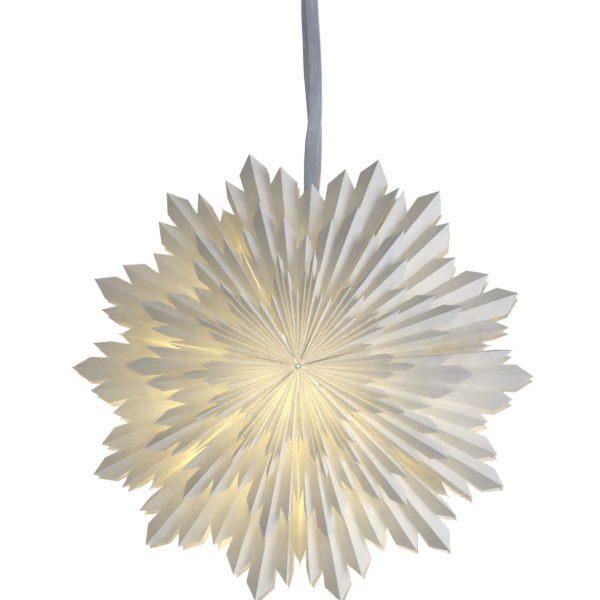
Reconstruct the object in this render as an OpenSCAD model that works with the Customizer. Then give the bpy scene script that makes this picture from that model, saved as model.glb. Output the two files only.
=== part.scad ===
// Paper advent star of seven folded units. Each unit is a pleated paper tube, open at
// its outer end, with two shorter pleated sheets over its front and two over its back.
// The front faces -Y, up is +Z, and the origin is the top of the ribbon loop.

/* [Star] */
// Depth of the star's centre below the top of the ribbon loop
hang_drop = 515; // [480:5:700]
// Radius at the longest tips of the outer tubes
outer_tip_r = 300; // [285:5:340]
// Radius at the longest tips of the middle sheets
middle_tip_r = 225; // [210:5:240]
// Radius at the longest tips of the inner sheets
inner_tip_r = 150; // [140:5:165]
// Step from a long leaf to a medium one and from a medium to a short one
leaf_step = 25; // [20:1:28]
// Length of the slanting cut from tip to shoulder on the outer and middle leaves
leaf_cut = 22; // [14:1:24]
// Length of the slanting cut on the inner leaves
inner_cut = 13; // [8:1:16]

/* [Thickness and depth] */
// Thickness of the paper
paper_t = 0.3; // [0.2:0.05:0.4]
// Play between stacked or neighbouring sheets
paper_gap = 0.2; // [0.15:0.05:0.3]
// Half of the star's depth at the hub
hub_half = 89; // [80:1:100]
// How far the inner tips stand in front of the hub
inner_dish = 3; // [0:0.5:5]
// How far the middle tips lie behind the hub
middle_drop = 21; // [18:1:30]
// Half of the star's depth at the outer tips
outer_tip_half = 25; // [15:1:35]
// Pleat depth of the outer tubes at the tips
outer_pleat = 17; // [10:1:22]
// Pleat depth of the middle sheets at the tips
middle_pleat = 15; // [10:1:17]
// Pleat depth of the inner sheets at the tips
inner_pleat = 12.5; // [8:0.5:14]

/* [Seams and hub] */
// Half height of the glued strip at the middle of each side wall
land_half = 6; // [4:1:9]
// Width of the slit between neighbouring middle sheets
slit = 1.6; // [0.6:0.2:2.4]
// Radius at which the side walls begin, clear of the lamp
lamp_room_r = 60; // [55:1:75]
// Radius at which the outer tubes begin
outer_start_r = 20; // [16:1:24]
// Radius at which the middle sheets begin
middle_start_r = 10; // [8:0.5:13]
// Radius of the hole at the hub
hub_hole_r = 2.5; // [2:0.1:3]
// Width of the rim of each hub eyelet
eyelet_rim = 1.1; // [0.8:0.1:2]

/* [Lamp] */
// Diameter of the bulb's globe
bulb_d = 45; // [40:1:50]
// Height of the bulb's cap bottom above the star's centre
cap_z = 31; // [30:0.5:34]
// Diameter of the screw cap
cap_d = 14; // [13:0.5:15]
// Length of the screw cap
cap_l = 22; // [20:1:24]
// Outer diameter of the lampholder
holder_d = 28; // [25:1:32]
// Height of the lampholder's sleeve
holder_l = 48; // [44:1:56]
// Wall of the lampholder's sleeve
holder_wall = 2.6; // [2:0.2:3.5]
// Diameter of the cord grip on top of the lampholder
grip_d = 12; // [10:0.5:14]
// Diameter of the cord hole
cord_hole_d = 6; // [5:0.5:7]

/* [Ribbon] */
// Width of the ribbon
ribbon_w = 18; // [12:1:20]
// Thickness of the ribbon
ribbon_t = 0.5; // [0.4:0.1:0.8]
// Width of the band that ties the ribbon to the cord grip
tie_w = 10; // [8:0.5:11]
// Thickness of that band
tie_t = 1.6; // [1.2:0.2:2.4]

/* [Hidden] */
$fn = 64;
// Where the seams between units lie, clockwise from straight up, as the star hangs open
seam_outer = [28.3, 81, 129.8, 180.5, 233.3, 283.1, 334.4];
seam_middle = [28.4, 81.2, 131.8, 180.3, 232.1, 282, 334];
seam_inner = [21.5, 75.5, 132.3, 180, 228, 281.5, 334];
// Angle between the last ridge of one unit and the first of the next at each seam
open_outer = [1.2, 6.2, 6.4, 6.4, 7.8, 9.4, 8];
open_middle = [1, 8, 7, 7, 6.5, 7, 8];
open_inner = [6.7, 3, 10.7, 8.6, 5, 5.5, 11];
// Angles from ridge to ridge across a unit, as shares of its span
step_7 = [7.4, 6.9, 8.2, 8.2, 6.9, 7.4];
step_9 = [7.9, 4.5, 4.5, 6.7, 6.7, 4.5, 4.5, 7.9];
// Length of each ridge: 0 is long, 1 medium and 2 short
kind_7 = [1, 0, 1, 2, 1, 0, 1];
kind_9 = [2, 1, 0, 1, 2, 1, 0, 1, 2];
// Share of a side wall's width and depth at its middle crease
crease_in = 0.35;
crease_down = 0.5;
// The ribbon's route above the star's centre, from the tie over the loop and back. Between
// heights 190 and 240 it lies against the inside of the top unit, where it is glued.
ribbon_pts = [
    [7, -6.5, 89], [7.5, -14, 115], [8.5, -27, 150], [10, -41.2, 190], [11, -35.7, 215],
    [11.5, -29.8, 240], [11, -20, 280], [12, -13, 310], [14.5, -10, 330],
    [16, -8, 350], [15.2, -5.5, 409], [13, -4.5, 450], [10.8, -3.8, 485],
    [9.3, -3, 508], [8.3, -2, 512], [7, 0, 514.75], [5.6, 2, 512], [4.6, 3, 508],
    [5, 3.8, 485], [6.8, 4.5, 450], [8.2, 5.5, 409], [13.5, 8, 350], [14.8, 10, 330],
    [14.6, 12.5, 310], [13.6, 18, 280], [10, 26.6, 240], [9.2, 34.1, 215],
    [10, 41.2, 190], [8.5, 27, 150], [7.5, 14, 115], [7, 6.5, 89]
];

// Lines of the front ridges and valleys, as [depth at radius 0, rise per mm of radius]
function line(r1, y1, r2, y2) = [y1 - r1 * (y2 - y1) / (r2 - r1), (y2 - y1) / (r2 - r1)];
function at(l, r) = l[0] + l[1] * r;
function sink(l, r0, r1, depth) = line(r0, at(l, r0), r1, at(l, r1) + depth);
inner_ridge = line(hub_hole_r, -hub_half, inner_tip_r, -hub_half - inner_dish);
inner_valley = sink(inner_ridge, hub_hole_r, inner_tip_r, inner_pleat);
middle_y = at(inner_valley, middle_start_r) + paper_t * 1.2 + paper_gap;
middle_ridge = line(middle_start_r, middle_y, middle_tip_r, -hub_half + middle_drop);
middle_valley = sink(middle_ridge, middle_start_r, middle_tip_r, middle_pleat);
outer_y = at(middle_valley, outer_start_r) + paper_t * 1.3 + paper_gap;
outer_ridge = line(outer_start_r, outer_y, outer_tip_r, -outer_tip_half);
outer_valley = sink(outer_ridge, outer_start_r, outer_tip_r, outer_pleat);
short_r = middle_tip_r - 2 * leaf_step;
middle_seam = line(middle_start_r, middle_y, short_r, at(outer_ridge, short_r) - 3);

function total(v, n) = n <= 0 ? 0 : v[n - 1] + total(v, n - 1);
// Azimuth of ridge i of unit u, between the unit's two seams
function ridge_az(u, i, seam, open, step) =
    let (a = seam[u] + open[u] / 2,
         b = seam[(u + 1) % 7] + (u == 6 ? 360 : 0) - open[(u + 1) % 7] / 2)
    a + (b - a) * total(step, i) / total(step, len(step));
function end_az(u, seam) = seam[(u + 1) % 7] + (u == 6 ? 360 : 0);

// A column is one crease: [azimuth, sideways shift, depth at 0, rise, first radius, tip, length
// that its leaf's cut starts from]. A valley has no tip.
function column(az, dx, l, start, tip, ref) = [az, dx, l[0], l[1], start, tip, ref];
function mirrored(c) = [c[0], c[1], -c[2], -c[3], c[4], c[5], c[6]];
function flipped(v) = [for (i = [len(v) - 1:-1:0]) mirrored(v[i])];

// Ridges and the valleys between them, from left to right across the front of a unit
function pleats(u, seam, open, step, kind, ridge, valley, start, tip_r) = [
    for (k = [0:2 * len(step)])
        let (i = floor(k / 2), a = ridge_az(u, i, seam, open, step))
        k % 2 == 0
            ? column(a, 0, ridge, start, tip_r - kind[i] * leaf_step, tip_r - kind[i] * leaf_step)
            : column((a + ridge_az(u, i + 1, seam, open, step)) / 2, 0, valley, start, 0, 0)
];

// Side wall of an outer tube from its front ridge towards the mid-plane
function wall(az, seam_az, side) =
    let (len_s = outer_tip_r - 2 * leaf_step,
         half = [outer_ridge[0] * crease_down, outer_ridge[1] * crease_down],
         dx = -side * paper_gap / 2,
         nose = leaf_cut * land_half / 24)
    [
        column(az + (seam_az - az) * crease_in, 0, half, lamp_room_r * 0.68, 0, 0),
        column(seam_az, dx, [-land_half, 0], lamp_room_r * 0.98, len_s - nose, len_s),
        column(seam_az, dx, [0, 0], lamp_room_r, len_s, len_s)
    ];
function wall_front(az, seam_az, side) = wall(az, seam_az, side);
function wall_back(az, seam_az, side) =
    let (w = wall(az, seam_az, side)) [mirrored(w[1]), mirrored(w[0])];

function tube_columns(u) =
    let (front = pleats(u, seam_outer, open_outer, step_7, kind_7, outer_ridge, outer_valley,
                        outer_start_r, outer_tip_r),
         a0 = front[0][0], a1 = front[12][0],
         s0 = seam_outer[u], s1 = end_az(u, seam_outer),
         right = concat(wall_front(a1, s1, 1), wall_back(a1, s1, 1)),
         lf = wall_front(a0, s0, -1), lb = wall_back(a0, s0, -1))
    concat(front, right, flipped(front), [lb[1], lb[0], lf[2], lf[1], lf[0]]);

function middle_columns(u) =
    let (front = pleats(u, seam_middle, open_middle, step_7, kind_7, middle_ridge,
                        middle_valley, middle_start_r, middle_tip_r),
         a0 = front[0][0], a1 = front[12][0],
         s0 = seam_middle[u], s1 = end_az(u, seam_middle))
    concat([column(s0, slit / 2, middle_seam, middle_start_r, short_r, short_r),
            column(a0 + (s0 - a0) * crease_in, 0, middle_valley, middle_start_r, 0, 0)],
           front,
           [column(a1 + (s1 - a1) * crease_in, 0, middle_valley, middle_start_r, 0, 0),
            column(s1, -slit / 2, middle_seam, middle_start_r, short_r, short_r)]);

function inner_columns(u) =
    let (front = pleats(u, seam_inner, open_inner, step_9, kind_9, inner_ridge, inner_valley,
                        hub_hole_r, inner_tip_r),
         a0 = front[0][0], a1 = front[16][0],
         s0 = seam_inner[u], s1 = end_az(u, seam_inner))
    concat([column(a0 + (s0 - a0) * 0.8, paper_gap / 2, inner_valley, hub_hole_r, 0, 0)],
           front,
           [column(a1 + (s1 - a1) * 0.8, -paper_gap / 2, inner_valley, hub_hole_r, 0, 0)]);

// Offsets that give the folded sheet its thickness, mitred at each crease
function across(c, r) = [r * c[0] * PI / 180 + c[1], c[2] + c[3] * r];
function unit_normal(p, q) = let (d = q - p, n = norm(d)) [-d[1] / n, d[0] / n];
function mitre(v, j, r, closed) =
    let (n = len(v), p = across(v[j], r),
         has_a = closed || j > 0, has_b = closed || j < n - 1,
         na = has_a ? unit_normal(across(v[(j + n - 1) % n], r), p) : [0, 0],
         nb = has_b ? unit_normal(p, across(v[(j + 1) % n], r)) : [0, 0],
         a = has_a ? na : nb, b = has_b ? nb : na)
    (a + b) / max(1 + a * b, 0.2) * paper_t;
function start_offset(v, j, closed) =
    v[j][4] <= outer_start_r ? [0, v[j][2] < 0 ? paper_t : -paper_t]
                             : mitre(v, j, v[j][4], closed);
function place(c, r, o) = [
    r * sin(c[0]) + (c[1] + o[0]) * cos(c[0]),
    c[2] + c[3] * r + o[1],
    r * cos(c[0]) - (c[1] + o[0]) * sin(c[0])
];

// Where the sheet between two columns ends on the first, and on the second
function ends(a, b, cut) = [a[5] > 0 ? a[5] : b[6] - cut, b[5] > 0 ? b[5] : a[6] - cut];

// One folded sheet as a single closed solid, from its columns
module sheet(v, cut, closed) {
    n = len(v);
    m = closed ? n : n - 1;
    e = [for (f = [0:m - 1]) ends(v[f], v[(f + 1) % n], cut)];
    shared = [for (j = [0:n - 1])
        let (left = closed || j > 0 ? e[(j + m - 1) % m][1] : 1e6,
             right = closed || j < n - 1 ? e[j % m][0] : 1e6)
        min(left, right)];
    creases = [for (j = [0:n - 1])
        let (c = v[j], o = start_offset(v, j, closed), p = mitre(v, j, shared[j], closed))
        each [place(c, c[4], [0, 0]), place(c, shared[j], [0, 0]),
              place(c, c[4], o), place(c, shared[j], p)]];
    spare = [for (f = [0:m - 1])
        let (a = v[f], b = v[(f + 1) % n],
             pa = mitre(v, f, shared[f], closed),
             pb = mitre(v, (f + 1) % n, shared[(f + 1) % n], closed))
        each [place(a, e[f][0], [0, 0]), place(a, e[f][0], pa),
              place(b, e[f][1], [0, 0]), place(b, e[f][1], pb)]];
    skins = [for (f = [0:m - 1])
        let (g = (f + 1) % n, s = 4 * n + 4 * f,
             xa = e[f][0] > shared[f] + 0.01, xb = e[f][1] > shared[g] + 0.01,
             oa = xa ? s : 4 * f + 1, ia = xa ? s + 1 : 4 * f + 3,
             ob = xb ? s + 2 : 4 * g + 1, ib = xb ? s + 3 : 4 * g + 3)
        each concat(
            xa ? [[ob, 4 * g, 4 * f], [ob, 4 * f, 4 * f + 1], [ob, 4 * f + 1, oa],
                  [ib, 4 * f + 2, 4 * g + 2], [ib, 4 * f + 3, 4 * f + 2], [ib, ia, 4 * f + 3],
                  [oa, 4 * f + 1, 4 * f + 3], [oa, 4 * f + 3, ia]]
               : [[oa, ob, xb ? 4 * g + 1 : ob], [oa, 4 * g + 1, 4 * g], [oa, 4 * g, 4 * f],
                  [ia, xb ? 4 * g + 3 : ib, ib], [ia, 4 * g + 2, 4 * g + 3],
                  [ia, 4 * f + 2, 4 * g + 2]],
            xb ? [[4 * g + 1, ob, ib], [4 * g + 1, ib, 4 * g + 3]] : [],
            [[oa, ia, ib], [oa, ib, ob],
             [4 * f, 4 * g, 4 * g + 2], [4 * f, 4 * g + 2, 4 * f + 2]])];
    z = n - 1;
    sides = closed ? [] : [
        [1, 0, 2], [1, 2, 3],
        [4 * z, 4 * z + 1, 4 * z + 3], [4 * z, 4 * z + 3, 4 * z + 2]];
    faces = [for (t = concat(skins, sides)) if (t[0] != t[1] && t[1] != t[2] && t[0] != t[2]) t];
    polyhedron(points = concat(creases, spare), faces = faces, convexity = 20);
}

module outer_unit(u) {
    color("#f1e6c8")
        translate([0, 0, -hang_drop])
            sheet(tube_columns(u), leaf_cut, true);
}
module front_middle(u) {
    color("#f6edd6")
        translate([0, 0, -hang_drop])
            sheet(middle_columns(u), leaf_cut, false);
}
module front_inner(u) {
    color("#fbf4e2")
        translate([0, 0, -hang_drop])
            sheet(inner_columns(u), inner_cut, false);
}
module back_middle(u) {
    color("#f6edd6")
        translate([0, 0, -hang_drop])
            sheet(flipped(middle_columns(u)), leaf_cut, false);
}
module back_inner(u) {
    color("#fbf4e2")
        translate([0, 0, -hang_drop])
            sheet(flipped(inner_columns(u)), inner_cut, false);
}

// Eyelet that clamps the seven inner sheets at the hub
module eyelet() {
    barrel = hub_hole_r - paper_gap;
    flange = barrel + eyelet_rim;
    inside = -1.3 * paper_t - paper_gap;
    color("#f4f2ec")
        translate([0, -hub_half, -hang_drop])
            rotate([90, 0, 0])
                rotate_extrude()
                    polygon([[barrel - 0.9, 0.8], [flange - 0.3, 0.8], [flange, 0.5],
                             [flange, paper_gap / 2], [barrel, paper_gap / 2],
                             [barrel, inside], [flange, inside], [flange, inside - 0.4],
                             [barrel - 0.9, inside - 0.4]]);
}
module front_eyelet() {
    eyelet();
}
module back_eyelet() {
    mirror([0, 1, 0])
        eyelet();
}

// Bulb with its cap upwards in the lampholder, and the globe at the star's centre
module bulb_glass() {
    r = bulb_d / 2;
    neck = cap_d / 2 - 0.6;
    color("#fff1cf")
        translate([0, 0, -hang_drop])
            rotate_extrude()
                polygon(concat(
                    [for (a = [-90:6:42]) [r * cos(a), r * sin(a)]],
                    [[neck + 2.4, cap_z - 8], [neck + 0.6, cap_z - 4], [neck, cap_z],
                     [0, cap_z]]));
}
module bulb_cap() {
    r = cap_d / 2;
    turns = 5;
    pitch = (cap_l - 7) / turns;
    color("#c9c6bd")
        translate([0, 0, -hang_drop + cap_z])
            rotate_extrude()
                polygon(concat(
                    [[0, 0], [r - 0.5, 0], [r - 0.5, 1.5]],
                    [for (i = [0:turns - 1]) each [[r, 2 + (i + 0.25) * pitch],
                                                   [r - 0.7, 2 + (i + 0.75) * pitch]]],
                    [[r - 1.4, cap_l - 3.4], [3, cap_l - 1.6], [2.6, cap_l], [0, cap_l]]));
}

holder_z = cap_z - 3;
bore_top = cap_z + cap_l + paper_gap;
holder_top = holder_z + holder_l;
module lampholder() {
    r = holder_d / 2;
    color("#efeae0")
        translate([0, 0, -hang_drop])
            rotate_extrude()
                polygon([
                    [r - holder_wall, holder_z], [r - 0.6, holder_z], [r, holder_z + 0.6],
                    [r, holder_z + 9], [r - 1, holder_z + 10], [r - 1, holder_z + 13],
                    [r, holder_z + 14], [r, holder_top - 8], [r - 5, holder_top],
                    [cord_hole_d / 2, holder_top], [cord_hole_d / 2, bore_top + 4],
                    [0, bore_top + 4], [0, bore_top], [cap_d / 2 + 0.3, bore_top],
                    [cap_d / 2 + 0.3, holder_z + 5], [r - holder_wall, holder_z + 3]]);
}
grip_l = 14;
module cord_grip() {
    r = grip_d / 2;
    color("#e4dfd4")
        translate([0, 0, -hang_drop + holder_top + paper_gap])
            rotate_extrude()
                polygon([[cord_hole_d / 2, 0], [r + 1.5, 0], [r + 1.5, 1.6], [r, 2.2],
                         [r, grip_l - 1], [r - 1, grip_l], [cord_hole_d / 2, grip_l]]);
}

tie_z = holder_top + paper_gap + 2.6;
module ribbon_tie() {
    r = grip_d / 2 + paper_gap;
    color("#8f98a5")
        translate([0, 0, -hang_drop + tie_z])
            rotate_extrude()
                polygon([[r, 0], [r + tie_t - 0.4, 0], [r + tie_t, 0.4],
                         [r + tie_t, tie_w - 0.4], [r + tie_t - 0.4, tie_w], [r, tie_w]]);
}

// The ribbon: one flat band swept from the tie over the loop and back
function ahead(p, i) = p[min(i + 1, len(p) - 1)] - p[max(i - 1, 0)];
function unit(v) = v / norm(v);
module ribbon() {
    low = ribbon_pts[0][2];
    top = max([for (q = ribbon_pts) q[2]]);
    foot = tie_z + tie_w + paper_gap - hang_drop;
    p = [for (q = ribbon_pts)
        [q[0], q[1], foot + (q[2] - low) / (top - low) * (-ribbon_t / 2 - foot)]];
    n = len(p);
    pts = [for (i = [0:n - 1])
        let (d = unit(ahead(p, i)), f = unit(cross([1, 0, 0], d)),
             x = [ribbon_w / 2, 0, 0], y = f * ribbon_t / 2)
        each [p[i] - x - y, p[i] + x - y, p[i] + x + y, p[i] - x + y]];
    band = [for (i = [0:n - 2], k = [0:3])
        let (a = 4 * i + k, b = 4 * i + (k + 1) % 4)
        each [[a, a + 4, b + 4], [a, b + 4, b]]];
    color("#8f98a5")
        polyhedron(points = pts,
                   faces = concat(band, [[0, 1, 2], [0, 2, 3]],
                                  [[4 * n - 1, 4 * n - 2, 4 * n - 3],
                                   [4 * n - 1, 4 * n - 3, 4 * n - 4]]),
                   convexity = 4);
}

outer_unit(0);  // outer_unit_1
outer_unit(1);  // outer_unit_2
outer_unit(2);  // outer_unit_3
outer_unit(3);  // outer_unit_4
outer_unit(4);  // outer_unit_5
outer_unit(5);  // outer_unit_6
outer_unit(6);  // outer_unit_7
front_middle(0);  // front_middle_1
front_middle(1);  // front_middle_2
front_middle(2);  // front_middle_3
front_middle(3);  // front_middle_4
front_middle(4);  // front_middle_5
front_middle(5);  // front_middle_6
front_middle(6);  // front_middle_7
front_inner(0);  // front_inner_1
front_inner(1);  // front_inner_2
front_inner(2);  // front_inner_3
front_inner(3);  // front_inner_4
front_inner(4);  // front_inner_5
front_inner(5);  // front_inner_6
front_inner(6);  // front_inner_7
back_middle(0);  // back_middle_1
back_middle(1);  // back_middle_2
back_middle(2);  // back_middle_3
back_middle(3);  // back_middle_4
back_middle(4);  // back_middle_5
back_middle(5);  // back_middle_6
back_middle(6);  // back_middle_7
back_inner(0);  // back_inner_1
back_inner(1);  // back_inner_2
back_inner(2);  // back_inner_3
back_inner(3);  // back_inner_4
back_inner(4);  // back_inner_5
back_inner(5);  // back_inner_6
back_inner(6);  // back_inner_7
front_eyelet();
back_eyelet();
bulb_glass();
bulb_cap();
lampholder();
cord_grip();
ribbon_tie();
ribbon();
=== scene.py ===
import math

import bpy
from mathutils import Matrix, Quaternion, Vector


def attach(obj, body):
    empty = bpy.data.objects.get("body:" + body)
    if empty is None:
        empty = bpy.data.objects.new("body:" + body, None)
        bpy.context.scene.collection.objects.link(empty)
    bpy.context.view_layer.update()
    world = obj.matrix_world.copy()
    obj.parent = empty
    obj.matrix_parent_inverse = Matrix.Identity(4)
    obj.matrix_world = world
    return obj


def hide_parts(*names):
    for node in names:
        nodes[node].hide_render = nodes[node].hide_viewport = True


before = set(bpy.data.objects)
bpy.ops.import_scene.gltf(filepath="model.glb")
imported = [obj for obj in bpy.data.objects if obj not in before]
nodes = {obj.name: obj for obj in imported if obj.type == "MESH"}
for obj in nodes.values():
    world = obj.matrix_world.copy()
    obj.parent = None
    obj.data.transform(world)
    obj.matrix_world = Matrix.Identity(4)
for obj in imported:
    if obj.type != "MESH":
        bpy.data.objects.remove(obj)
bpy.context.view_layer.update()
scene = bpy.context.scene
scene.view_settings.view_transform = "Standard"

DROP = 0.515  # the star's centre below the top of the ribbon loop
CENTRE = Vector((0, 0, -DROP))


def link(name, data):
    ob = bpy.data.objects.new(name, data)
    scene.collection.objects.link(ob)
    return ob


# Camera: a little to the right of the star's axis and below it, looking up
AZIMUTH, ELEVATION, ROLL = map(math.radians, (3.64, -9.45, 0.26))
DISTANCE = 3.6
LENS_MM = 165.4
AIM_RIGHT, AIM_UP = -0.0038, 0.0989  # middle of the picture, from the star's centre

back = Vector((math.sin(AZIMUTH) * math.cos(ELEVATION),
               -math.cos(AZIMUTH) * math.cos(ELEVATION), math.sin(ELEVATION)))
right = Vector((math.cos(AZIMUTH), math.sin(AZIMUTH), 0))
up = right.cross(-back)
cam = link("camera", bpy.data.cameras.new("camera"))
cam.location = CENTRE + right * AIM_RIGHT + up * AIM_UP + back * DISTANCE
cam.rotation_mode = "QUATERNION"
cam.rotation_quaternion = (-back).to_track_quat("-Z", "Y") @ Quaternion((0, 0, 1), ROLL)
cam.data.lens = LENS_MM
cam.data.clip_start, cam.data.clip_end = 0.05, 60
scene.camera = cam

# The ribbon: the route of part.scad, from the tie over the loop and back, in mm from the
# star's centre
ROUTE_MM = [
    (7, -6.5, 89), (7.5, -14, 115), (8.5, -27, 150), (10, -41.2, 190), (11, -35.7, 215),
    (11.5, -29.8, 240), (11, -20, 280), (12, -13, 310), (14.5, -10, 330),
    (16, -8, 350), (15.2, -5.5, 409), (13, -4.5, 450), (10.8, -3.8, 485),
    (9.3, -3, 508), (8.3, -2, 512), (7, 0, 514.75), (5.6, 2, 512), (4.6, 3, 508),
    (5, 3.8, 485), (6.8, 4.5, 450), (8.2, 5.5, 409), (13.5, 8, 350), (14.8, 10, 330),
    (14.6, 12.5, 310), (13.6, 18, 280), (10, 26.6, 240), (9.2, 34.1, 215),
    (10, 41.2, 190), (8.5, 27, 150), (7.5, 14, 115), (7, 6.5, 89),
]
ROUTE = [Vector((x / 1000, y / 1000, z / 1000 - DROP)) for x, y, z in ROUTE_MM]
# How far the ribbon is turned about its own line at each point, in degrees
TURN = [0, 1, 2, 3, 4, 4, 2, -4, -9, -8, 2, 5, 4, 2, 0, 0, 0, -2, -4, -5, -3, 5, 8, 4,
        0, -3, -4, -3, -1, 0, 0]
RIBBON_WIDTH = 0.018
RIBBON_THICK = 0.0005
RIBBON_STEP = 0.0025  # along the route
RIBBON_ACROSS = 10  # faces across it
CUP = 0.00035  # how far its middle stands out from its edges
SELVEDGE = 0.14  # the thicker share of each half


def fine(points, values, step):
    """The route at closer points, with the values eased from each point to the next."""
    out, vals = [], []
    for i in range(len(points) - 1):
        a, b = points[i], points[i + 1]
        n = max(1, round((b - a).length / step))
        for k in range(n):
            t = k / n
            out.append(a.lerp(b, t))
            vals.append(values[i] + (values[i + 1] - values[i]) * (3 * t * t - 2 * t ** 3))
    return out + [points[-1]], vals + [values[-1]]


def smoothed(points, rounds):
    p = [q.copy() for q in points]
    for _ in range(rounds):
        inner = [p[i] * 0.5 + (p[i - 1] + p[i + 1]) * 0.25 for i in range(1, len(p) - 1)]
        p = [p[0]] + inner + [p[-1]]
    return p


def make_ribbon():
    line, turn = fine(ROUTE, TURN, RIBBON_STEP)
    line = smoothed(line, 3)
    # the width is level before it is turned, so that the loop's top has no ears
    level = Vector((1, 0, 0))
    verts, faces = [], []
    for i, p in enumerate(line):
        along = (line[min(i + 1, len(line) - 1)] - line[max(i - 1, 0)]).normalized()
        normal = level.cross(along).normalized()
        a = math.radians(turn[i])
        side = level * math.cos(a) + normal * math.sin(a)
        face = normal * math.cos(a) - level * math.sin(a)
        for s in (-1, 1):
            for k in range(RIBBON_ACROSS + 1):
                u = k / RIBBON_ACROSS * 2 - 1
                edge = max(0, abs(u) - (1 - SELVEDGE)) / SELVEDGE
                t = RIBBON_THICK * (0.5 + 0.25 * edge)
                verts.append(p + side * (u * RIBBON_WIDTH / 2)
                             + face * (CUP * (1 - u * u) + s * t))
    half = RIBBON_ACROSS + 1  # points across one face of the ribbon
    row = 2 * half
    for i in range(len(line) - 1):
        a, b = i * row, (i + 1) * row
        for k in range(RIBBON_ACROSS):
            faces.append((a + k, a + k + 1, b + k + 1, b + k))
            faces.append((a + half + k + 1, a + half + k, b + half + k, b + half + k + 1))
        faces.append((a + half, a, b, b + half))
        faces.append((a + half - 1, a + row - 1, b + row - 1, b + half - 1))
    for a, flip in ((0, False), ((len(line) - 1) * row, True)):
        for k in range(RIBBON_ACROSS):
            end = (a + k, a + half + k, a + half + k + 1, a + k + 1)
            faces.append(end[::-1] if flip else end)
    mesh = bpy.data.meshes.new("ribbon_cloth")
    mesh.from_pydata([v[:] for v in verts], [], faces)
    mesh.update()
    mesh.polygons.foreach_set("use_smooth", [True] * len(mesh.polygons))
    return link("ribbon_cloth", mesh), line


ribbon, ribbon_line = make_ribbon()
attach(ribbon, "root")
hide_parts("ribbon")


# Node helpers. An input is another node's output or a constant value.
def node(nt, kind, inputs=None, **settings):
    n = nt.nodes.new(kind)
    for key, value in settings.items():
        setattr(n, key, value)
    for key, value in (inputs or {}).items():
        put(nt, n.inputs[key], value)
    return n


def put(nt, socket, value):
    if hasattr(value, "links"):
        nt.links.new(value, socket)
    else:
        socket.default_value = value


def math_node(nt, op, *values):
    return node(nt, "ShaderNodeMath", dict(enumerate(values)), operation=op).outputs[0]


def vector_node(nt, op, *values):
    n = node(nt, "ShaderNodeVectorMath", dict(enumerate(values)), operation=op)
    return n.outputs["Value" if op in ("DOT_PRODUCT", "LENGTH") else "Vector"]


def object_place(nt):
    """Object coordinates: every piece sits at the frame's origin, so they are the frame's."""
    return node(nt, "ShaderNodeTexCoord").outputs["Object"]


def noise(nt, coord, scale, detail=3.0, rough=0.55, stretch=None):
    if stretch:
        coord = node(nt, "ShaderNodeMapping", {"Vector": coord, "Scale": stretch}).outputs[0]
    return node(nt, "ShaderNodeTexNoise", {
        "Vector": coord, "Scale": scale, "Detail": detail, "Roughness": rough}).outputs["Fac"]


def ramp(nt, fac, stops):
    """A colour ramp. A stop's colour is three numbers, or one for a grey."""
    r = node(nt, "ShaderNodeValToRGB", {"Fac": fac})
    elements = r.color_ramp.elements
    while len(elements) > 1:
        elements.remove(elements[-1])
    for i, (at, colour) in enumerate(stops):
        e = elements[0] if i == 0 else elements.new(at)
        e.position = at
        e.color = (*(colour if isinstance(colour, tuple) else (colour,) * 3), 1)
    return r.outputs["Color"]


def mixed(nt, a, b, fac, mode="MIX"):
    n = node(nt, "ShaderNodeMix", data_type="RGBA", blend_type=mode)
    put(nt, n.inputs["Factor"], fac)
    for socket, value in zip([i for i in n.inputs if i.type == "RGBA"], (a, b)):
        put(nt, socket, value)
    return [o for o in n.outputs if o.type == "RGBA"][0]


def bump(nt, height, strength, distance, normal=None):
    inputs = {"Strength": strength, "Distance": distance, "Height": height}
    if normal is not None:
        inputs["Normal"] = normal
    return node(nt, "ShaderNodeBump", inputs).outputs["Normal"]


def material(name):
    m = bpy.data.materials.new(name)
    m.use_nodes = True
    m.node_tree.nodes.clear()
    return m, m.node_tree


def show(nt, shader, kind="ShaderNodeOutputMaterial"):
    node(nt, kind, {"Surface": shader.outputs[0]})


# Paper
GLOW = (1.0, 0.83, 0.39)  # colour of the glow painted on the paper as emission, for the light that comes through it
SEE_THROUGH = 0.32  # share of the light that passes through a sheet
GLOW_REACH = 0.32  # distance from the hub that is 1 in the stops of the painted glow
HUB_BLUR = 0.05  # within about this distance from the hub the painted glow leans less
TO_CM = 100.0  # the ramps at the seams are in centimetres
BRIGHT_SEAM = 0.75  # how much stronger the painted glow is on a bright seam
SEAM_SHADE = 0.5  # what is left of the glow and the colour where shade is painted on a seam
FACES_IN = -0.0005  # depth times the normal's depth, where a face looks into the star


def seam_distance(nt, place, seams):
    """Distance from the nearest glued seam, across the star, in centimetres."""
    part = node(nt, "ShaderNodeSeparateXYZ", {0: place}).outputs
    x, z = part["X"], part["Z"]
    near = None
    for seam in seams:
        a = math.radians(seam)
        aside = math_node(nt, "SUBTRACT", math_node(nt, "MULTIPLY", x, math.cos(a)),
                          math_node(nt, "MULTIPLY", z, math.sin(a)))
        along = math_node(nt, "ADD", math_node(nt, "MULTIPLY", x, math.sin(a)),
                          math_node(nt, "MULTIPLY", z, math.cos(a)))
        # points on the far side of the hub don't count
        d = math_node(nt, "ADD", math_node(nt, "ABSOLUTE", aside),
                      math_node(nt, "LESS_THAN", along, 0.0))
        near = d if near is None else math_node(nt, "MINIMUM", near, d)
    return math_node(nt, "MULTIPLY", near, TO_CM)


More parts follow.
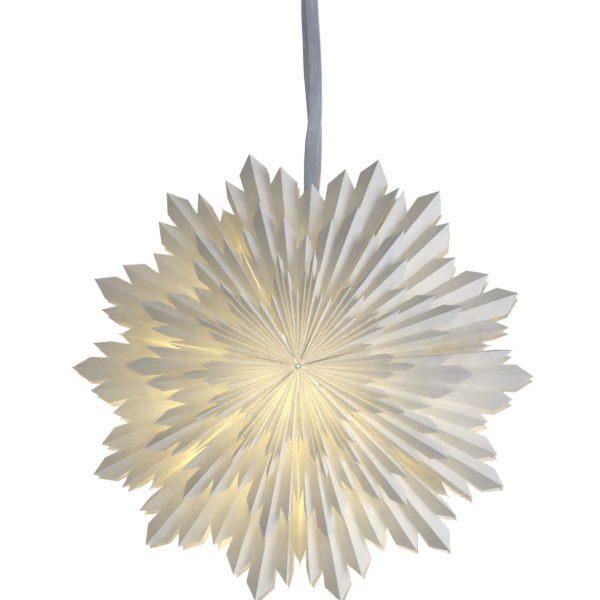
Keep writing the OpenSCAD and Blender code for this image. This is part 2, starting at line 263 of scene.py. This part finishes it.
def paper_material(name, glow_stops, lean_way, lean_by, rays, shaded_seams=(),
                   bright_seams=(), inside=0.0):
    """White paper with the lamp's light coming through it, and more glow painted on it as
    emission.

    glow_stops: strength of the painted glow by distance from the hub, across the star
    lean_way, lean_by: clockwise angle from the top towards which the painted glow grows, and by
    how much
    rays: how much the painted glow changes round the hub
    shaded_seams, bright_seams: angles of the glued seams with painted shade near the hub, or with
    a stronger painted glow
    inside: how much more painted glow a tube's inner side has near its open end
    """
    m, nt = material(name)
    coord = object_place(nt)
    clouds = noise(nt, coord, 55, 4, 0.6)
    fibres = noise(nt, coord, 900, 3, 0.6, stretch=(1, 1, 0.35))
    base = mixed(nt, ramp(nt, clouds, [(0.3, (0.83, 0.825, 0.82)), (0.7, (0.89, 0.885, 0.88))]),
                 ramp(nt, fibres, [(0.35, (0.9, 0.88, 0.85)), (0.65, 1)]), 0.35, "MULTIPLY")
    through = mixed(nt, ramp(nt, clouds, [(0.3, (0.96, 0.935, 0.87)), (0.7, (0.99, 0.97, 0.92))]),
                    ramp(nt, fibres, [(0.3, (0.90, 0.87, 0.82)), (0.7, 1)]), 0.5, "MULTIPLY")
    wavy = bump(nt, noise(nt, coord, 22, 2, 0.5), 0.5, 0.004)
    grainy = bump(nt, noise(nt, coord, 2600, 2, 0.5), 0.12, 0.0004, wavy)

    # the place across the star, from its centre
    flat = vector_node(nt, "MULTIPLY", coord, (1, 0, 1))
    place = vector_node(nt, "SUBTRACT", flat, CENTRE)
    span = vector_node(nt, "LENGTH", place)
    reach = math_node(nt, "DIVIDE", span, GLOW_REACH)
    # painted glow: a warm emission by distance from the hub, standing in for the lamp's light
    # through the sheets
    lit = ramp(nt, reach, [(at, tuple(v * c for c in GLOW)) for at, v in glow_stops])
    # the painted glow is made stronger to the lower left
    way = (math.sin(math.radians(lean_way)), 0, math.cos(math.radians(lean_way)))
    lean = math_node(nt, "DIVIDE", vector_node(nt, "DOT_PRODUCT", place, way),
                     math_node(nt, "ADD", span, HUB_BLUR))
    power = math_node(nt, "MULTIPLY_ADD", lean, lean_by, 1.0)
    # painted rays of glow round the hub, as uneven folds make them
    ray = noise(nt, vector_node(nt, "NORMALIZE", place), 16, 4, 0.75)
    ray = ramp(nt, ray, [(0.32, 1 - rays), (0.68, 1 + rays)])
    power = math_node(nt, "MULTIPLY", power, ray)
    # painted stronger glow along the glued seams, for the light that comes through them
    if bright_seams:
        near = seam_distance(nt, place, bright_seams)
        line = ramp(nt, near, [(0.0, 1), (0.10, 0.6), (0.4, 0)])
        more = math_node(nt, "MULTIPLY_ADD", line, BRIGHT_SEAM, 1.0)
        power = math_node(nt, "MULTIPLY", power, more)
    if inside:
        # the lamp shines on the inner side of a tube, most near its open end; this adds painted
        # glow there
        depth = node(nt, "ShaderNodeSeparateXYZ", {0: coord}).outputs["Y"]
        normal = node(nt, "ShaderNodeNewGeometry").outputs["True Normal"]
        facing = node(nt, "ShaderNodeSeparateXYZ", {0: normal}).outputs["Y"]
        inward = math_node(nt, "LESS_THAN", math_node(nt, "MULTIPLY", depth, facing), FACES_IN)
        end = math_node(nt, "MULTIPLY", inward, ramp(nt, reach, [(0.55, 0), (0.75, 1)]))
        power = math_node(nt, "ADD", power, math_node(nt, "MULTIPLY", end, inside))
    if shaded_seams:
        # painted shade along the glued seams, on the glow and on the base colour
        dark = ramp(nt, seam_distance(nt, place, shaded_seams), [(0.03, SEAM_SHADE), (0.16, 1)])
        # the painted shade is only near the hub
        far = ramp(nt, span, [(0.03, 0), (0.075, 1)])
        dark = mixed(nt, dark, (1, 1, 1, 1), far)
        power = math_node(nt, "MULTIPLY", power, dark)
        # the painted seam shade darkens the base colour as well
        base = mixed(nt, base, dark, 1.0, "MULTIPLY")

    # the painted glow goes in as the sheet's emission
    sheet = node(nt, "ShaderNodeBsdfPrincipled", {
        "Base Color": base, "Normal": grainy, "Roughness": 0.82, "Specular IOR Level": 0.2,
        "Emission Color": mixed(nt, lit, through, 0.3, "MULTIPLY"),
        "Emission Strength": power})
    passing = node(nt, "ShaderNodeBsdfTranslucent", {"Color": through, "Normal": wavy})
    show(nt, node(nt, "ShaderNodeMixShader", {
        0: SEE_THROUGH, 1: sheet.outputs[0], 2: passing.outputs[0]}))
    return m


def ribbon_material():
    m, nt = material("woven_ribbon")
    coord = object_place(nt)

    def threads(direction, scale, distortion):
        return node(nt, "ShaderNodeTexWave", {
            "Vector": coord, "Scale": scale, "Distortion": distortion},
            wave_type="BANDS", bands_direction=direction).outputs["Fac"]

    weave = math_node(nt, "MULTIPLY", threads("Z", 900.0, 0.4), threads("X", 1100.0, 0.6))
    colour = ramp(nt, noise(nt, coord, 60, 3, 0.5),
                  [(0.3, (0.55, 0.575, 0.62)), (0.7, (0.69, 0.71, 0.75))])
    # threads run along the ribbon in lighter and darker streaks
    streaks = noise(nt, coord, 520, 3, 0.6, stretch=(1, 0.05, 0.05))
    colour = mixed(nt, colour, ramp(nt, streaks, [(0.35, (0.76, 0.78, 0.80)), (0.6, 1)]),
                   0.8, "MULTIPLY")
    colour = mixed(nt, colour, ramp(nt, weave, [(0.0, (0.78, 0.79, 0.81)), (0.8, 1.1)]),
                   0.7, "MULTIPLY")
    show(nt, node(nt, "ShaderNodeBsdfPrincipled", {
        "Base Color": colour, "Roughness": 0.62, "Sheen Weight": 0.3,
        "Normal": bump(nt, weave, 0.5, 0.0003)}))
    return m


def plain_material(name, dark, light, rough, metal=0.0, scale=120.0):
    """An even material with small changes of tone and roughness, and a fine grain."""
    m, nt = material(name)
    coord = object_place(nt)
    tone = ramp(nt, noise(nt, coord, scale, 4, 0.6), [(0.3, dark), (0.7, light)])
    rubbed = ramp(nt, noise(nt, coord, scale * 3, 3, 0.6),
                  [(0.3, rough - 0.06), (0.7, rough + 0.06)])
    grain = bump(nt, noise(nt, coord, scale * 12, 2, 0.5), 0.15, 0.0003)
    show(nt, node(nt, "ShaderNodeBsdfPrincipled", {
        "Base Color": tone, "Roughness": rubbed, "Metallic": metal, "Normal": grain}))
    return m


def bulb_material():
    m, nt = material("lit_opal_glass")
    tone = noise(nt, object_place(nt), 40, 2, 0.5)
    show(nt, node(nt, "ShaderNodeBsdfPrincipled", {
        "Base Color": ramp(nt, tone, [(0.3, (0.93, 0.9, 0.84)), (0.7, (0.97, 0.95, 0.9))]),
        "Emission Color": ramp(nt, tone, [(0.3, (1.0, 0.84, 0.50)), (0.7, (1.0, 0.86, 0.54))]),
        "Emission Strength": 1.6, "Roughness": 0.25}))
    return m


def wear(ob, m):
    ob.data.materials.clear()
    ob.data.materials.append(m)


papers = {
    "outer": paper_material(
        "outer_paper",
        [(0.30, 0.06), (0.42, 0.24), (0.52, 0.21), (0.66, 0.09), (0.84, 0.035), (1.0, 0.025)],
        lean_way=240, lean_by=0.85, rays=0.12, inside=1.5,
        bright_seams=(28.3, 81, 129.8, 180.5, 233.3, 283.1, 334.4)),
    "middle": paper_material(
        "middle_paper",
        [(0.12, 0.05), (0.24, 0.25), (0.34, 0.24), (0.46, 0.11), (0.62, 0.03), (0.8, 0.02)],
        lean_way=210, lean_by=0.6, rays=0.2,
        bright_seams=(28.4, 81.2, 131.8, 180.3, 232.1, 282, 334)),
    "inner": paper_material(
        "inner_paper",
        [(0.0, 0.23), (0.12, 0.28), (0.24, 0.18), (0.38, 0.06), (0.50, 0.02)],
        lean_way=190, lean_by=0.55, rays=0.55,
        shaded_seams=(21.5, 75.5, 132.3, 180, 228, 281.5, 334)),
}
for name, ob in nodes.items():
    for tier, paper in papers.items():
        if tier + "_" in name:
            wear(ob, paper)

cloth = ribbon_material()
white_plastic = plain_material("white_plastic", (0.78, 0.76, 0.71), (0.84, 0.82, 0.78), 0.45)
eyelet_white = plain_material("white_eyelet", (0.60, 0.58, 0.60), (0.72, 0.70, 0.71), 0.35,
                              scale=400.0)
tin = plain_material("screw_cap_metal", (0.62, 0.61, 0.58), (0.74, 0.73, 0.70), 0.32,
                     metal=1.0, scale=200.0)
wear(ribbon, cloth)
for name, m in (("ribbon_tie", cloth), ("lampholder", white_plastic),
                ("cord_grip", white_plastic), ("front_eyelet", eyelet_white),
                ("back_eyelet", eyelet_white), ("bulb_cap", tin),
                ("bulb_glass", bulb_material())):
    wear(nodes[name], m)


def seen_straight(nt):
    """1 for the rays that show the background: those of the camera, those that metal
    reflects and those that pass through glass. Not those that pass through paper, which
    would throw more light on the star."""
    ray = node(nt, "ShaderNodeLightPath").outputs
    glass = math_node(nt, "SUBTRACT", ray["Is Transmission Ray"], ray["Is Diffuse Ray"])
    plain = math_node(nt, "MAXIMUM", ray["Is Camera Ray"], ray["Is Glossy Ray"])
    return math_node(nt, "MAXIMUM", plain, glass)


# Floor
FLOOR_HALF = 9  # half of its side
FLOOR_HEIGHT = -1.35
FLOOR_LIFT = 0.42  # it is seen paler by this, without throwing more light on the star
floor_mesh = bpy.data.meshes.new("floor")
floor_mesh.from_pydata([(x * FLOOR_HALF, y * FLOOR_HALF, 0)
                        for x, y in ((-1, -1), (1, -1), (1, 1), (-1, 1))], [], [(0, 1, 2, 3)])
floor = link("floor", floor_mesh)
floor.location = (0, 0, FLOOR_HEIGHT)
pale_floor, nt = material("pale_floor")
board = node(nt, "ShaderNodeBsdfPrincipled", {
    "Base Color": ramp(nt, noise(nt, object_place(nt), 3, 3), [(0.3, 0.80), (0.7, 0.83)]),
    "Roughness": 0.9})
unlit = node(nt, "ShaderNodeEmission", {"Strength": 0.0})
pale = node(nt, "ShaderNodeEmission", {"Strength": FLOOR_LIFT})
lift = node(nt, "ShaderNodeMixShader", {
    0: seen_straight(nt), 1: unlit.outputs[0], 2: pale.outputs[0]})
show(nt, node(nt, "ShaderNodeAddShader", {0: board.outputs[0], 1: lift.outputs[0]}))
wear(floor, pale_floor)

# World: white where it is seen, and a weak sky that lights the star
WHITE = (1, 1, 1, 1)
SKY = (0.91, 0.92, 0.99, 1)
SKY_STRENGTH = 0.215
world =bpy.data.worlds.new("world")
scene.world = world
world.use_nodes = True
nt = world.node_tree
nt.nodes.clear()
white = node(nt, "ShaderNodeBackground", {"Color": WHITE, "Strength": 1.0})
sky = node(nt, "ShaderNodeBackground", {"Color": SKY, "Strength": SKY_STRENGTH})
show(nt, node(nt, "ShaderNodeMixShader", {
    0: seen_straight(nt), 1: sky.outputs[0], 2: white.outputs[0]}), "ShaderNodeOutputWorld")

# Lamps: name, place, size, watts and colour
for name, place, size, watts, colour in (
        ("window_light", (2.65, -0.95, -0.55), 1.3, 51, (0.84, 0.895, 1.0)),
        ("fill_light", (1.5, -2.6, 0.5), 1.4, 13, (0.84, 0.90, 1.0)),
        ("back_light", (-1.6, 2.6, -0.1), 1.4, 15, (0.90, 0.94, 1.0))):
    lamp = link(name, bpy.data.lights.new(name, "AREA"))
    lamp.data.shape = "SQUARE"
    lamp.data.size = size
    lamp.data.energy = watts
    lamp.data.color = colour
    lamp.location = place
    lamp.rotation_mode = "QUATERNION"
    lamp.rotation_quaternion = (CENTRE - Vector(place)).to_track_quat("-Z", "Y")

# The bulb's light: a soft sphere round the star's centre
OUTWARD = 1.04  # its strength out into the tubes, which falls by 1 towards the two hubs
bulb_light = bpy.data.lights.new("bulb_light", "POINT")
bulb_light.energy = 6.5
bulb_light.color = (1.0, 0.90, 0.64)
bulb_light.shadow_soft_size = 0.03
bulb_light.use_nodes = True
nt = bulb_light.node_tree
nt.nodes.clear()
way = node(nt, "ShaderNodeTexCoord").outputs["Normal"]
depth = node(nt, "ShaderNodeSeparateXYZ", {0: way}).outputs["Y"]
strength = math_node(nt, "SUBTRACT", OUTWARD, math_node(nt, "ABSOLUTE", depth))
show(nt, node(nt, "ShaderNodeEmission", {"Strength": strength}), "ShaderNodeOutputLight")
bulb_lamp = link("bulb_light", bulb_light)
bulb_lamp.location = CENTRE
bulb_lamp.visible_camera = False
